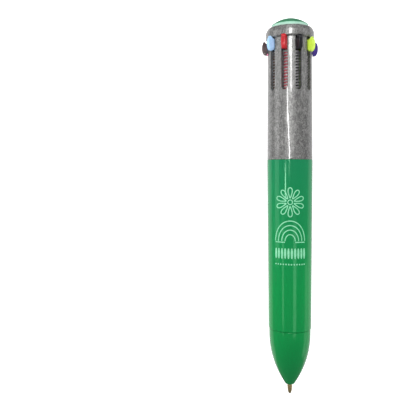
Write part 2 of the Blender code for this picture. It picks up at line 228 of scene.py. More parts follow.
CAMERA_LEVEL = 87 * MM  # the height on the pen that the camera stands over
CAMERA_DEPTH = 220 * MM
CAMERA_TURN = -4.5  # degrees round the pen from the side that faces up
PEN_OFFSET = math.radians(9.27)  # the pen stands this far to the right of the picture's middle
FOCAL_SHARE = 1.375  # the lens's focal length, in widths of the picture
PICTURE_SHIFT = -0.06

# Each light's angle in degrees round the pen from the camera, its two heights along the pen,
# distance and width in metres, radiance, and the rays that see it
LIGHTS = {
    # Soft light for the colours
    "left_fill": (-75, (-0.25, 0.40), 0.50, 0.45, 1.7, "matte"),
    "right_fill": (80, (-0.25, 0.40), 0.50, 0.45, 1.4, "matte"),
    "front_fill": (0, (-0.25, 0.45), 0.60, 0.80, 1.5, "matte"),
    "head_fill": (0, (0.34, 0.62), 0.25, 0.60, 3.4, "matte"),
    # Broad sheens
    "over_sheen": (6, (0.12, 0.32), 0.40, 0.36, 0.4, "gloss"),
    "head_left": (-64, (0.185, 0.34), 0.45, 0.36, 1.2, "both"),
    "head_right": (72, (0.185, 0.34), 0.45, 0.36, 0.7, "gloss"),
    "table_left": (-135, (-0.20, 0.35), 0.30, 0.35, 0.7, "gloss"),
    "table_right": (135, (-0.20, 0.35), 0.30, 0.35, 0.5, "gloss"),
    # Reflections with an edge
    "streak_wide": (3.9, (0.227, 0.42), 0.42, 0.095, 15, "gloss"),
    "streak_narrow": (6.6, (0.185, 0.227), 0.42, 0.045, 15, "gloss"),
    "thin_line": (-4.2, (0.104, 0.155), 0.40, 0.022, 20, "gloss"),
    "thin_top": (-11.6, (0.150, 0.200), 0.40, 0.030, 20, "gloss"),
    "mint_line": (-21.5, (0.055, 0.096), 0.40, 0.028, 19, "gloss"),
    "left_band": (-68, (-0.02, 0.185), 0.45, 0.20, 1.3, "gloss"),
    "left_low_band": (-36, (-0.10, 0.03), 0.45, 0.07, 2.0, "gloss"),
    "right_band": (95, (-0.30, -0.02), 0.45, 0.14, 0.8, "gloss"),
    "nose_band": (26, (-0.10, 0.03), 0.42, 0.12, 2.0, "gloss"),
    "crown": (0, (0.42, 0.62), 0.16, 0.60, 1.8, "gloss"),
}
LEANS = {"thin_line": 56, "thin_top": 14}  # degrees between a light's length and the pen's
SKY_SEEN = (0.95, 0.95, 0.95, 1)
SKY_LIGHT = (0.28, 0.28, 0.285, 1)
FLOOR_RADIUS = 1.6


def pen_frame():
    """The pen's frame, from the flat on its head and the lowest point of the ball that is out."""
    mount = frame["record"]["mounts"][0]
    head = Vector(mount["pos_m"])
    along = Vector(mount["axis"]).normalized()
    right = Vector((0, -1, 0))
    turn = Matrix((right, along.cross(right), along)).transposed()
    ball = frame["nodes"][f"ball_{ENGAGED}"].data.vertices
    tip = min((corner.co - head).dot(along) for corner in ball)
    return Matrix.Translation(head + along * tip) @ turn.to_4x4()


PEN = pen_frame()
INTO_PEN = PEN.inverted()


def points(node):
    """A CAD node's corners in the pen's frame."""
    return [INTO_PEN @ corner.co for corner in frame["nodes"][node].data.vertices]


def reach(node):
    """A CAD node's lowest and highest height, and its smallest and largest radius."""
    corners = points(node)
    heights = [corner.z for corner in corners]
    radii = [math.hypot(corner.x, corner.y) for corner in corners]
    return min(heights), max(heights), min(radii), max(radii)


def direction(node):
    """The angle of a CAD node's middle round the pen, in radians from the side that faces up."""
    corners = points(node)
    middle = sum(corners, Vector()) / len(corners)
    return math.atan2(middle.x, -middle.y)


def outward(angle):
    return Vector((math.sin(angle), -math.cos(angle), 0))


def smoothstep(share):
    return share * share * (3 - 2 * share)


# ---------------------------------------------------------------------------- meshes


def rounded(corners, steps=5):
    """An outline of (radius, height) points, from (radius, height, fillet) corners. A point on the
    straight beside each fillet keeps the shading of the straight even."""
    outline = []
    for i, (radius, height, fillet) in enumerate(corners):
        here = Vector((radius, height))
        if fillet == 0:
            outline.append(here)
            continue
        before = (Vector(corners[i - 1][:2]) - here).normalized()
        after = (Vector(corners[(i + 1) % len(corners)][:2]) - here).normalized()
        half = before.angle(after) / 2
        leg = fillet / math.tan(half)
        centre = here + (before + after).normalized() * fillet / math.sin(half)
        start, end = here + before * leg - centre, here + after * leg - centre
        sweep = math.pi - 2 * half
        outline.append(here + before * (leg + fillet / 2))
        for k in range(steps + 1):
            turn = sweep * k / steps
            arm = (start * math.sin(sweep - turn) + end * math.sin(turn)) / math.sin(sweep)
            outline.append(centre + arm)
        outline.append(here + after * (leg + fillet / 2))
    return [(point.x, point.y) for point in outline]


def turned(outline, sides=SIDES):
    """Turns an outline round the pen's axis: a closed ring, or a line from the axis to the axis."""
    bm = bmesh.new()
    corners = [bm.verts.new((radius, 0, height)) for radius, height in outline]
    edges = [bm.edges.new(pair) for pair in zip(corners, corners[1:])]
    if outline[0][0] > 0:
        edges.append(bm.edges.new((corners[-1], corners[0])))
    bmesh.ops.spin(
        bm,
        geom=corners + edges,
        cent=(0, 0, 0),
        axis=(0, 0, 1),
        angle=math.tau,
        steps=sides,
        use_merge=True,
    )
    bmesh.ops.remove_doubles(bm, verts=bm.verts, dist=1e-7)
    return bm


def skinned(bm, rings, closed_ends=True):
    """Faces between neighbouring rings of corners, and over the first and the last."""
    for ring, following in zip(rings, rings[1:]):
        for i in range(len(ring)):
            bm.faces.new((ring[i], ring[i - 1], following[i - 1], following[i]))
    if closed_ends:
        bm.faces.new(rings[0])
        bm.faces.new(rings[-1])


def mesh_of(bm, name):
    bmesh.ops.recalc_face_normals(bm, faces=bm.faces)
    mesh = bpy.data.meshes.new(name)
    bm.to_mesh(mesh)
    bm.free()
    return mesh


def object_of(mesh, name):
    obj = bpy.data.objects.new(name, mesh)
    bpy.context.scene.collection.objects.link(obj)
    return obj


def combined(mesh, others, operation, edge=0.0):
    """The mesh joined to the others, or cut by them, with an edge rounded where it was cut."""
    base = object_of(mesh, "base")
    tools = [object_of(other, "tool") for other in others]
    for tool in tools:
        modifier = base.modifiers.new(operation, "BOOLEAN")
        modifier.operation = operation
        modifier.object = tool
    if edge:
        bevel = base.modifiers.new("edge", "BEVEL")
        bevel.width = edge
        bevel.segments = 2
        bevel.limit_method = "ANGLE"
        bevel.angle_limit = math.radians(60)
    bpy.context.view_layer.update()
    graph = bpy.context.evaluated_depsgraph_get()
    whole = bpy.data.meshes.new_from_object(base.evaluated_get(graph))
    for used in [base, *tools]:
        bpy.data.objects.remove(used, do_unlink=True)
    return whole


def block(low, high, edge):
    """A box with rounded edges."""
    bm = bmesh.new()
    low, high = Vector(low), Vector(high)
    spot = Matrix.Translation((low + high) / 2) @ Matrix.Diagonal((*(high - low), 1))
    bmesh.ops.create_cube(bm, size=1, matrix=spot)
    bmesh.ops.bevel(bm, geom=bm.edges, offset=edge, segments=3, profile=0.5, affect="EDGES")
    return mesh_of(bm, "block")


def piece(name, mesh, finish, replaces=None, body=None, place=None, crease=CREASE):
    """A smooth-shaded piece. One with no body is left without a parent."""
    mesh = mesh.copy()
    mesh.name = name
    mesh.shade_smooth()
    mesh.set_sharp_from_angle(angle=crease)
    mesh.materials.clear()
    mesh.materials.append(finish)
    obj = object_of(mesh, name)
    obj.matrix_world = PEN @ (place or Matrix.Identity(4))
    if body:
        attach(obj, body)
    if replaces:
        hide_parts(replaces)
    return obj


# ------------------------------------------------------------------------- materials


class Finish:
    """A procedural material: a Principled shader and the textures that feed it."""

    def __init__(self, name, **sockets):
        self.material = bpy.data.materials.new(name)
        self.material.use_nodes = True
        self.tree = self.material.node_tree
        self.shader = self.tree.nodes["Principled BSDF"]
        self.place = self.node("TexCoord").outputs["Object"]
        for socket, value in sockets.items():
            self.feed(socket.replace("_", " ").title().replace("Ior", "IOR"), value)

    def feed(self, socket, value):
        self.connect(self.shader.inputs[socket], value)

    def connect(self, socket, value):
        if isinstance(value, bpy.types.NodeSocket):
            self.tree.links.new(value, socket)
        elif isinstance(value, tuple) and len(value) == 3 and socket.type == "RGBA":
            socket.default_value = (*value, 1.0)
        else:
            socket.default_value = value

    def node(self, kind, inputs=None, **settings):
        made = self.tree.nodes.new(f"ShaderNode{kind}")
        for setting, value in settings.items():
            setattr(made, setting, value)
        for socket, value in (inputs or {}).items():
            self.connect(made.inputs[socket], value)
        return made

    def stretched(self, along):
        """The coordinates, with patterns drawn out along the pen by a factor."""
        return self.node("Mapping", {"Vector": self.place, "Scale": (1, 1, 1 / along)}).outputs["Vector"]

    def noise(self, size, detail=2.0, roughness=0.5, distortion=0.0, along=1.0):
        """A noise from 0 to 1 whose features are of that size, in metres."""
        inputs = {
            "Vector": self.place if along == 1.0 else self.stretched(along),
            "Scale": 1 / size,
            "Detail": detail,
            "Roughness": roughness,
            "Distortion": distortion,
        }
        return self.node("TexNoise", inputs).outputs["Fac"]

    def cells(self, size):
        """A random number from 0 to 1 for each cell of that size, in metres."""
        made = self.node("TexVoronoi", {"Vector": self.place, "Scale": 1 / size})
        return self.node("SeparateColor", {"Color": made.outputs["Color"]}).outputs["Red"]

    def ramp(self, share, *stops):
        """Colours or numbers at given shares, and between them."""
        made = self.node("ValToRGB", {"Fac": share})
        bar = made.color_ramp.elements
        while len(bar) < len(stops):
            bar.new(0.5)
        for element, (spot, value) in zip(bar, stops):
            element.position = spot
            tone = value if isinstance(value, tuple) else (value, value, value)
            element.color = (*tone, 1.0)
        return made.outputs["Color"]

    def height_share(self, low, high, wobble=0.0):
        """0 to 1 between two heights along the pen, which a noise can make wander."""
        height = self.node("SeparateXYZ", {"Vector": self.place}).outputs["Z"]
        if wobble:
            height = self.math("ADD", height, self.math("MULTIPLY", self.noise(1.5 * MM), wobble))
        made = self.node("MapRange", {"Value": height, "From Min": low, "From Max": high})
        return made.outputs["Result"]

    def math(self, operation, first, second):
        made = self.node("Math", {0: first, 1: second}, operation=operation)
        return made.outputs["Value"]

    def multiplied(self, first, second):
        made = self.node("Mix", data_type="RGBA", blend_type="MULTIPLY")
        made.inputs["Factor"].default_value = 1.0
        self.connect(made.inputs[6], first)
        self.connect(made.inputs[7], second)
        return made.outputs[2]

    def bump(self, height, strength, distance):
        inputs = {"Height": height, "Strength": strength, "Distance": distance}
        return self.node("Bump", inputs).outputs["Normal"]


def shade(colour, factor):
    return tuple(min(1.0, channel * factor) for channel in colour)


def silver_flake():
    """Grey plastic full of fine metal flake, drawn into worm-like swirls by the mould's flow."""
    made = Finish("silver_flake", metallic=0.6, coat_weight=1.0, coat_roughness=0.03, coat_ior=1.5)
    swirl = made.noise(0.85 * MM, detail=1.5, roughness=0.5, distortion=1.6, along=1.6)
    flow = made.noise(9 * MM, detail=2.0, distortion=0.6, along=2.5)
    body = made.ramp(
        swirl,
        (0.34, (0.130, 0.130, 0.127)),
        (0.50, (0.212, 0.211, 0.205)),
        (0.66, (0.335, 0.333, 0.323)),
    )
    cloud = made.ramp(flow, (0.3, 0.86), (0.7, 1.0))
    flake = made.ramp(made.cells(0.2 * MM), (0.0, 0.78), (0.85, 0.98), (1.0, 1.0))
    made.feed("Base Color", made.multiplied(made.multiplied(body, cloud), flake))
    made.feed("Roughness", made.ramp(made.cells(0.2 * MM), (0.0, 0.34), (1.0, 0.50)))
    made.feed("Normal", made.bump(made.noise(0.3 * MM, detail=2.0), 0.35, 0.05 * MM))
    made.feed("Coat Normal", made.bump(made.noise(5 * MM, detail=1.0), 0.04, 0.2 * MM))
    return made.material


def glossy_green(name):
    """Glossy moulded plastic with a slight waviness and hairline scratches, and no colour yet."""
    made = Finish(name, specular_ior_level=0.5, specular_tint=(0.5, 1.0, 0.68))
    haze = made.noise(5 * MM, detail=3.0)
    hairlines = made.noise(0.25 * MM, detail=1.0, along=60.0)
    worn = made.math("MULTIPLY", haze, hairlines)
    made.feed("Roughness", made.ramp(worn, (0.12, 0.08), (0.30, 0.11), (0.45, 0.22)))
    made.feed("Normal", made.bump(made.noise(6 * MM, detail=1.0, along=2.0), 0.06, 0.2 * MM))
    return made


def barrel_green():
    """The green of the barrel and the cone, with faint flow. It turns a little bluer uphill, a painted
    reflection, and is darker towards the nose.
    """
    made = glossy_green("barrel_green")
    # Painted light: the bluer stops uphill are a painted reflection; the low stops make the green darker
    # towards the nose
    painted_sheen_drift = made.ramp(
        made.height_share(5 * MM, 95 * MM),
        (0.0, (0.003, 0.175, 0.042)),
        (0.22, (0.003, 0.235, 0.052)),
        (0.42, (0.003, 0.260, 0.058)),
        (1.0, (0.009, 0.210, 0.083)),
    )
    streams = made.noise(14 * MM, detail=3.0, distortion=0.8, along=3.0)
    flow = made.ramp(streams, (0.25, 0.92), (0.75, 1.0))
    speck = made.ramp(made.noise(0.5 * MM, detail=2.0), (0.3, 0.95), (0.7, 1.0))
    made.feed("Base Color", made.multiplied(made.multiplied(painted_sheen_drift, flow), speck))
    return made.material


def plug_green_painted_rim(low, high):
    """The green of the head's plug between two heights. Its edge is painted pale, mostly a painted
    highlight with a little edge wear, and its crown is a greyer green, a painted sheen.
    """
    made = glossy_green("plug_green_painted_rim")
    # Painted light: the pale lower stops paint a highlight on the plug's edge, with a little wear, and
    # the top stop paints a greyer sheen on its crown
    rim = made.ramp(
        made.height_share(low, high, wobble=0.2 * MM),
        (0.0, (0.56, 0.68, 0.61)),
        (0.20, (0.42, 0.66, 0.54)),
        (0.33, (0.34, 0.60, 0.47)),
        (0.39, (0.010, 0.15, 0.06)),
        (0.60, (0.012, 0.17, 0.07)),
        (1.0, (0.10, 0.27, 0.18)),
    )
    speck = made.ramp(made.noise(0.5 * MM), (0.3, 0.9), (0.7, 1.0))
    made.feed("Base Color", made.multiplied(rim, speck))
    made.feed("Roughness", made.ramp(made.noise(0.3 * MM, detail=2.0), (0.3, 0.34), (0.7, 0.48)))
    return made.material


def moulded(name, colour):
    """Glossy coloured plastic, a little cloudy, with the faint drag marks of its mould."""
    made = Finish(name, coat_weight=0.3, coat_roughness=0.05)
    cloud = made.noise(1.6 * MM, detail=3.0, distortion=0.5)
    made.feed("Base Color", made.ramp(cloud, (0.25, shade(colour, 0.86)), (0.75, shade(colour, 1.10))))
    made.feed("Roughness", made.ramp(made.noise(0.6 * MM, detail=2.0), (0.3, 0.16), (0.7, 0.26)))
    made.feed("Normal", made.bump(made.noise(0.3 * MM, detail=1.0, along=8.0), 0.12, 0.02 * MM))
    return made.material


def inked(name, colour):
    """A clear tube full of ink, paler where the film on its wall is thin."""
    made = Finish(name, coat_weight=0.6, coat_roughness=0.05, roughness=0.28)
    film = made.noise(1.2 * MM, detail=3.0, distortion=0.4, along=4.0)
    made.feed("Base Color", made.ramp(film, (0.3, shade(colour, 0.75)), (0.7, shade(colour, 1.25))))
    made.feed("Normal", made.bump(made.noise(1.5 * MM, detail=1.0, along=5.0), 0.1, 0.03 * MM))
    return made.material


def inner_plastic():
    """Satin off-white moulding, hidden inside."""
    made = Finish("inner_moulding")
    cloud = made.noise(2 * MM, detail=3.0)
    made.feed("Base Color", made.ramp(cloud, (0.3, (0.60, 0.60, 0.56)), (0.7, (0.72, 0.72, 0.69))))
    made.feed("Roughness", made.ramp(made.noise(0.4 * MM), (0.3, 0.38), (0.7, 0.52)))
    made.feed("Normal", made.bump(made.noise(0.2 * MM), 0.2, 0.02 * MM))
    return made.material


def wire_steel():
    """Drawn spring wire, with a thin film of oil."""
    made = Finish("wire_steel", metallic=0.5)
    film = made.noise(0.8 * MM, detail=3.0)
    made.feed("Base Color", made.ramp(film, (0.3, (0.50, 0.50, 0.51)), (0.7, (0.62, 0.62, 0.62))))
    made.feed("Roughness", made.ramp(made.noise(0.15 * MM), (0.3, 0.34), (0.7, 0.46)))
    made.feed("Normal", made.bump(made.noise(0.05 * MM, along=0.3), 0.2, 0.01 * MM))
    return made.material


def turned_brass():
    """Brass with the fine rings that a lathe leaves, and a slight tarnish."""
    made = Finish("turned_brass", metallic=1.0)
    tarnish = made.noise(0.9 * MM, detail=4.0)
    metal = made.ramp(
        tarnish,
        (0.3, (0.36, 0.27, 0.13)),
        (0.55, (0.56, 0.44, 0.22)),
        (0.8, (0.66, 0.54, 0.30)),
    )
    made.feed("Base Color", metal)
    made.feed("Roughness", made.ramp(made.noise(0.3 * MM), (0.3, 0.24), (0.7, 0.42)))
    rings = made.node(
        "TexWave",
        {"Vector": made.place, "Scale": 1 / (1.2 * MM), "Distortion": 0.2},
        wave_type="BANDS",
        bands_direction="Z",
    )
    made.feed("Normal", made.bump(rings.outputs["Fac"], 0.25, 0.01 * MM))
    return made.material


def mint_print():
    """Pale pad print. Its film is uneven, so a little of the green under it shows."""
    made = Finish("mint_print")
    film = made.noise(0.45 * MM, detail=4.0, roughness=0.6)
    mint = made.ramp(
        film,
        (0.30, (0.15, 0.52, 0.28)),
        (0.5, (0.22, 0.65, 0.38)),
        (0.8, (0.27, 0.70, 0.44)),
    )
    made.feed("Base Color", mint)
    made.feed("Roughness", made.ramp(made.noise(0.3 * MM), (0.3, 0.30), (0.7, 0.48)))
    made.feed("Normal", made.bump(made.noise(0.12 * MM), 0.2, 0.01 * MM))
    return made.material


def floor_paper():
    """A plain pale table, lit from inside a little so that the pen's shadow stays soft."""
    made = Finish("floor_paper", roughness=0.9, specular_ior_level=0.1, emission_strength=0.75)
    grain = made.noise(4 * MM, detail=4.0)
    made.feed("Base Color", made.ramp(grain, (0.3, (0.80, 0.80, 0.80)), (0.7, (0.84, 0.84, 0.84))))
    made.feed("Emission Color", (1.0, 1.0, 1.0))
    return made.material


# -------------------------------------------------------------------- the pen's body


def dome_radius(height, shoulder, top, radius):
    """The radius at a height of a dome that starts at its shoulder and closes at its top."""
    share = (height - shoulder) / (top - shoulder)
    return radius * (1 - share**DOME_FULLNESS) ** (1 / DOME_FULLNESS)


def dome_height(at, shoulder, top, radius):
    return shoulder + (top - shoulder) * (1 - (at / radius) ** DOME_FULLNESS) ** (1 / DOME_FULLNESS)


def head(silver, painted_rim_plug):
    """The silver cap, and the green dome that plugs its top."""
    low, edge, _, radius = reach("head_cap")
    stem_low, plug_top, _, plug_radius = reach("top_plug")
    barrel_top = reach("upper_barrel")[1]
    curve = (low + CAP_WALL_HEIGHT, plug_top + DOME_OVERSHOOT, radius)
    inner = radius - CAP_WALL
    recess = plug_radius + PLUG_GAP
    roof = edge - CAP_ROOF
    plug_low = edge - PLUG_SEAT
    steps = 24
    shoulder = [curve[0] + (edge - curve[0]) * i / steps for i in range(steps)]
    cap = [
        *rounded(
            [
                (inner, low + MM, 0),
                (inner, low, 0),
                (radius - CAP_RIM_SLOPE[0], low, 0.04 * MM),
                (radius, low + CAP_RIM_SLOPE[1], 0.12 * MM),
                (radius, low + MM, 0),
            ]
        )[1:-1],
        *[(dome_radius(height, *curve), height) for height in shoulder],
        *rounded(
            [
                (dome_radius(shoulder[-1], *curve), shoulder[-1], 0),
                (dome_radius(edge, *curve), edge, 0.12 * MM),
                (recess, edge, 0.12 * MM),
                (recess, plug_low - PLUG_GAP, 0),
            ]
        )[1:],
        (PLUG_STEM_RADIUS + PLUG_GAP, plug_low - PLUG_GAP),
        (PLUG_STEM_RADIUS + PLUG_GAP, roof),
        (CAP_ROOF_RADIUS, roof),
        (CAP_HAUNCH[0], barrel_top + CAP_HAUNCH[1]),
        (inner, barrel_top + CAP_CLEARANCE),
    ]
    piece("cap_shell", mesh_of(turned(cap), "cap"), silver, "head_cap", "barrel")

    steps = 30
    dome = []
    for i in range(steps + 1):
        at = (plug_radius - PLUG_EDGE_FILLET) * i / steps
        flat = plug_top - PLUG_SAG * (at / plug_radius) ** 2
        dome.append((at, min(dome_height(at, *curve), flat)))
    rim = dome_height(plug_radius, *curve)
    edge_arc = rounded(
        [
            (*dome[-1], 0),
            (plug_radius, rim + 0.06 * MM, PLUG_EDGE_FILLET * 0.6),
            (plug_radius, plug_low, 0),
        ]
    )
    plug = [
        *dome[:-1],
        *edge_arc[1:],
        (PLUG_STEM_RADIUS, plug_low),
        (PLUG_STEM_RADIUS, stem_low),
        (0, stem_low),
    ]
    piece("head_dome", mesh_of(turned(plug), "plug"), painted_rim_plug, "top_plug", "barrel")


def slot_cutters(bottom, top):
    """Ten prisms with round lower ends."""
    half = SLOT_WIDTH / 2
    steps = 16
    arc = [math.pi * (1 + i / steps) for i in range(steps + 1)]
    outline = [(half * math.cos(turn), bottom + half * (1 + math.sin(turn))) for turn in arc]
    outline += [(half, top + 2 * MM), (-half, top + 2 * MM)]
    bm = bmesh.new()
    for colour in COLOURS:
        turn = Matrix.Rotation(direction(f"slider_{colour}"), 4, "Z")
        rings = []
        for radius in CUTTER_REACH:
            rings.append([bm.verts.new(turn @ Vector((x, -radius, z))) for x, z in outline])
        skinned(bm, rings)
    return mesh_of(bm, "cutters")


def silver_barrel(silver):
    """The upper barrel: its taper, ten slots that run out through its top, and its spigot."""
    low, high, _, radius = reach("upper_barrel")
    seam = low + SPIGOT_LENGTH
    bore = radius - UPPER_WALL - UPPER_TAPER
    spigot = reach("lower_barrel")[2] + SPIGOT_STEP
    slots_low = high - SLOT_LENGTH
    plain = []
    for gap in PLAIN_RINGS:
        height = slots_low - gap
        plain.append((radius - UPPER_TAPER * (height - seam) / (high - seam), height, 0))
    wall = rounded(
        [
            (bore, seam + 2 * MM, 0),
            (spigot - SPIGOT_WALL, seam + MM, 0),
            (spigot - SPIGOT_WALL, low, 0.1 * MM),
            (spigot, low, 0.2 * MM),
            (spigot, seam, 0),
            (radius, seam, 0.1 * MM),
            *plain,
            (radius - UPPER_TAPER, high, 0.1 * MM),
            (bore, high, 0),
        ]
    )
    cutters = slot_cutters(slots_low, high)
    blank = mesh_of(turned(wall, SLOTTED_SIDES), "wall")
    mesh = combined(blank, [cutters], "DIFFERENCE", edge=SLOT_EDGE)
    piece(
        "barrel_silver",
        mesh,
        silver,
        replaces="upper_barrel",
        body="barrel",
        crease=SLOTTED_CREASE,
    )


def green_barrel(green):
    """The lower barrel: a slight taper to the nose, and a socket for the silver one's spigot."""
    low, high, bore, radius = reach("lower_barrel")
    socket = bore + SOCKET_STEP
    spigot_low = reach("upper_barrel")[0]
    shelf = spigot_low - SOCKET_SLACK
    rim = spigot_low + SPIGOT_LENGTH - BARREL_SEAM
    wall = rounded(
        [
            (radius - LOWER_TAPER, low, LOWER_EDGE),
            (radius, high - LOWER_STRAIGHT, 0),
            (radius, rim, 0.1 * MM),
            (socket, rim, 0.1 * MM),
            (socket, shelf, 0),
            (bore, shelf - SOCKET_SLACK, 0),
            (bore, low, 0.1 * MM),
        ]
    )
    piece("barrel_green", mesh_of(turned(wall), "wall"), green, "lower_barrel", "barrel")


def green_cone(green):
    """The nose cone, whose sides curve in ever more towards its tip, and its spigot."""
    low, spigot_top, bore, radius = reach("nose_cone")
    barrel_low, _, barrel_bore, _ = reach("lower_barrel")
    top = barrel_low - CONE_SEAM
    shoulder = barrel_low - CONE_SPIGOT_GAP - NOSE_COLLAR
    bend = (radius - bore - NOSE_END_WALL) / (shoulder - low) ** NOSE_CURVE_POWER

    def side(height):
        return radius - bend * max(0.0, shoulder - height) ** NOSE_CURVE_POWER

    spigot = barrel_bore - CONE_SPIGOT_GAP
    inner = spigot - CONE_SPIGOT_WALL
    funnel = low + NOSE_BORE_LENGTH
    steps = 40
    heights = [low + 0.15 * MM + (shoulder - low) * i / steps for i in range(steps + 1)]
    outer = [(side(height), height) for height in heights]
    hollow = [funnel + (spigot_top - funnel) * i / 16 for i in range(1, 16)]
    collar = [(*outer[-1], 0), (radius, top, 0.18 * MM), (spigot, top, 0), (spigot, spigot_top, 0)]
    outline = [
        (bore, low + 0.1 * MM),
        (bore + 0.1 * MM, low),
        (outer[0][0] - 0.13 * MM, low),
        *outer,
        *rounded(collar)[1:],
        (inner, spigot_top),
        *[(min(side(height) - NOSE_WALL, inner), height) for height in reversed(hollow)],
        (bore, funnel),
    ]
    piece("cone_green", mesh_of(turned(outline), "cone"), green, "nose_cone", "barrel")


def disc_and_core(plastic):
    """The drilled disc that guides the refills, and the splined post that the sliders ride on."""
    low, high, _, radius = reach("guide_disc")
    ring = ring_radius("spring_red")
    blank = rounded([(0, high, 0), (radius, high, 0.15 * MM), (radius, low, 0.15 * MM), (0, low, 0)])
    hole = half_width("refill_red") + DISC_CLEARANCE
    bits = []
    for colour in COLOURS:
        bm = turned([(0, high + MM), (hole, high + MM), (hole, low - MM), (0, low - MM)], FINE_SIDES)
        bmesh.ops.translate(bm, verts=bm.verts, vec=outward(direction(f"slider_{colour}")) * ring)
        bits.append(mesh_of(bm, "bit"))
    mesh = combined(mesh_of(turned(blank, 96), "blank"), bits, "DIFFERENCE")
    piece("disc_guide", mesh, plastic, "guide_disc", "barrel")

    low, high, _, spline = reach("centre_core")
    post = rounded(
        [(0, high, 0), (CORE_RADIUS, high, 0.3 * MM), (CORE_RADIUS, low, 0.2 * MM), (0, low, 0)]
    )
    half = SPLINE_WIDTH / 2
    fins = []
    for i in range(len(COLOURS) // 2):  # each runs through the post and makes two splines
        fin = block((-half, -spline, low + 2 * MM), (half, spline, high - MM), 0.08 * MM)
        fin.transform(Matrix.Rotation(math.tau * i / len(COLOURS), 4, "Z"))
        fins.append(fin)
    mesh = combined(mesh_of(turned(post, 96), "post"), fins, "UNION")
    piece("core_post", mesh, plastic, "centre_core", "barrel")


# --------------------------------------------------------------- sliders and refills


def slot_view(node):
    """A CAD node's corners, turned round the pen until its colour's slot faces up."""
    colour = node.split("_")[1]
    back = Matrix.Rotation(-direction(f"slider_{colour}"), 4, "Z")
    return [back @ corner for corner in points(node)]


def ring_radius(node):
    """How far from the pen's axis a CAD node's middle stands, towards its slot."""
    corners = slot_view(node)
    return -(sum(corners, Vector()) / len(corners)).y


def half_width(node):
    """Half of how wide a CAD node is, seen through its slot."""
    return max(abs(corner.x) for corner in slot_view(node))


def slider_mesh(colour):
    """A slider with its slot facing up: the knob, the neck through the slot, the carriage inside
    it, and the stub that holds the refill."""
    corners = slot_view(f"slider_{colour}")
    barrel = reach("upper_barrel")[3]
    knob = [corner for corner in corners if -corner.y > barrel]
    low, high = min(corner.z for corner in knob), max(corner.z for corner in knob)
    base, top = min(-corner.y for corner in knob), max(-corner.y for corner in knob)
    half = max(corner.x for corner in knob)
    cap_low = reach("head_cap")[0]
    middle, length = (low + high) / 2, high - low
    bm = bmesh.new()
    rings = []
    for i in range(KNOB_STATIONS + 1):
        turn = math.pi * i / KNOB_STATIONS
        height = middle - length / 2 * math.cos(turn)
        swell = math.sin(turn)
        under = base + UNDERCUT_SLOPE * max(0.0, height - (high - KNOB_UNDERCUT))
        end = base + KNOB_END_RISE
        rise = max(end + (top - end) * swell**KNOB_RISE_POWER, under + 0.2 * MM)
        if turn < math.pi / 2:
            share = 1 - KNOB_LOWER_TAPER * (1 - swell)
        else:
            share = KNOB_UPPER_WIDTH + (1 - KNOB_UPPER_WIDTH) * swell**KNOB_TAPER_POWER
        section = knob_section(half * share, under, rise, height)
        rings.append([bm.verts.new(corner) for corner in section])
    skinned(bm, rings)
    shell = mesh_of(bm, "knob")

    inside = [corner for corner in corners if -corner.y < CARRIAGE_WITHIN]
    body = [corner for corner in inside if abs(corner.x) > CARRIAGE_BEYOND]
    outer, inner = max(-corner.y for corner in body), min(-corner.y for corner in body)
    bottom, upper = min(corner.z for corner in body), max(corner.z for corner in body)
    width = max(corner.x for corner in body)
    carriage = block((-width, -outer, bottom), (width, -inner, upper), 0.12 * MM)
    neck = block(
        (-NECK_HALF_WIDTH, -base - 0.7 * MM, low + NECK_START),
        (NECK_HALF_WIDTH, -outer + 0.4 * MM, cap_low - 0.5 * MM),
        0.1 * MM,
    )
    stub_low = min(corner.z for corner in corners)
    bm = turned(
        rounded(
            [
                (0, bottom + MM, 0),
                (STUB_RADIUS, bottom + MM, 0),
                (STUB_RADIUS, stub_low, 0.12 * MM),
                (0, stub_low, 0),
            ]
        ),
        FINE_SIDES,
    )
    bmesh.ops.translate(bm, verts=bm.verts, vec=(0, -ring_radius(f"spring_{colour}"), 0))
    return combined(shell, [neck, carriage, mesh_of(bm, "stub")], "UNION")


def knob_section(half, under, rise, height):
    """The section of a knob at a height: flat below, sloped sides, rounded shoulders, and a
    slightly crowned top."""
    facet = half * KNOB_FACET_SHARE
    tall = rise - under
    fillet = min(KNOB_FILLET, 0.45 * tall, 0.6 * facet)
    right = [(half, under), (half - (half - facet) * 0.3, under + tall * 0.3)]
    steps = 5
    for k in range(steps + 1):
        turn = math.pi / 2 * k / steps
        right.append((facet - fillet * (1 - math.cos(turn)), rise - fillet * (1 - math.sin(turn))))
    right.append(((facet - fillet) * 0.5, rise + KNOB_CROWN * min(1.0, tall / MM)))
    left = [(-x, y) for x, y in reversed(right)]
    return [(x, -y, height) for x, y in right + left]


def tip_radius(colour):
    """How far from the pen's axis a colour's point stands."""
    return 0.0 if colour == ENGAGED else ring_radius(f"point_{colour}")


def tube_mesh(colour):
    """A refill's ink tube with its slot facing up. Below the guide disc it bends in smoothly."""
    low, high, _, _ = reach(f"refill_{colour}")
    ring = ring_radius(f"spring_{colour}")
    tip = tip_radius(colour)
    disc = reach("guide_disc")[0]
    radius = half_width(f"refill_{colour}") / math.cos(math.pi / TUBE_CAD_SIDES)
    turns = [math.tau * i / FINE_SIDES for i in range(FINE_SIDES)]
    circle = [Vector((math.cos(turn), math.sin(turn), 0)) for turn in turns]
    heights = [high, high - 0.12 * MM, high - 0.5 * MM, high - 3 * MM, disc + 0.5 * MM]
    heights += [disc - (disc - low) * i / TUBE_STEPS for i in range(TUBE_STEPS + 1)]
    bm = bmesh.new()
    walls = []
    for wall in (radius, radius - TUBE_WALL):
        rings = []
        for height in heights:
            share = max(0.0, (disc - height) / (disc - low))
            centre = Vector((0, -ring + (ring - tip) * smoothstep(share), height))
            rings.append([bm.verts.new(centre + wall * arm) for arm in circle])
        skinned(bm, rings, closed_ends=False)
        walls.append(rings)
    for end in (0, -1):
        skinned(bm, [walls[0][end], walls[1][end]], closed_ends=False)
    return mesh_of(bm, "tube")


